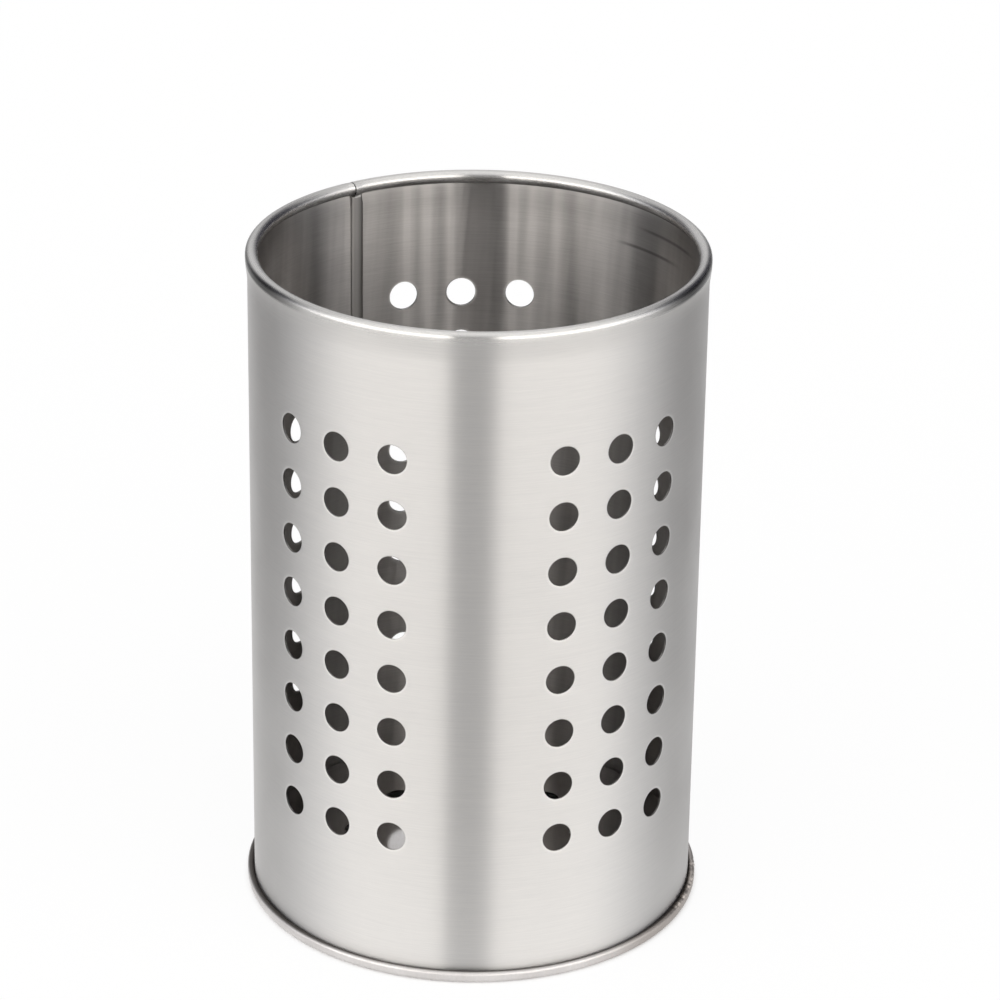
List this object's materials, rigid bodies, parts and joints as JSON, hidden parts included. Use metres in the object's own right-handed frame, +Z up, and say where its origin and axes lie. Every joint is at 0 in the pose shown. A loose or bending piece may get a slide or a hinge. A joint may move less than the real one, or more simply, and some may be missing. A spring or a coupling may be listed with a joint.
{
  "type": "utensil holder",
  "caption": "Open-topped round utensil holder of perforated brushed steel, with a rolled rim, a lock-seamed wall and a double-seamed base with drain holes.",
  "frame": {"origin": "middle of the base, on the table that the holder stands on", "axes": "+Z up the axis to the open mouth; -Y through the middle of the plain gap between the two groups of holes that face the viewer; +X to the viewer's right"},
  "size_m": [0.1212, 0.1212, 0.18],
  "materials": {
    "brushed_wall": "brushed round the wall, rolled rim a little smoother",
    "bright_base": "bright rolled sheet, slightly puckered at the seam"
  },
  "bodies": {
    "root": {"wall_sheet": "brushed_wall", "base_pan": "bright_base"}
  },
  "joints": []
}
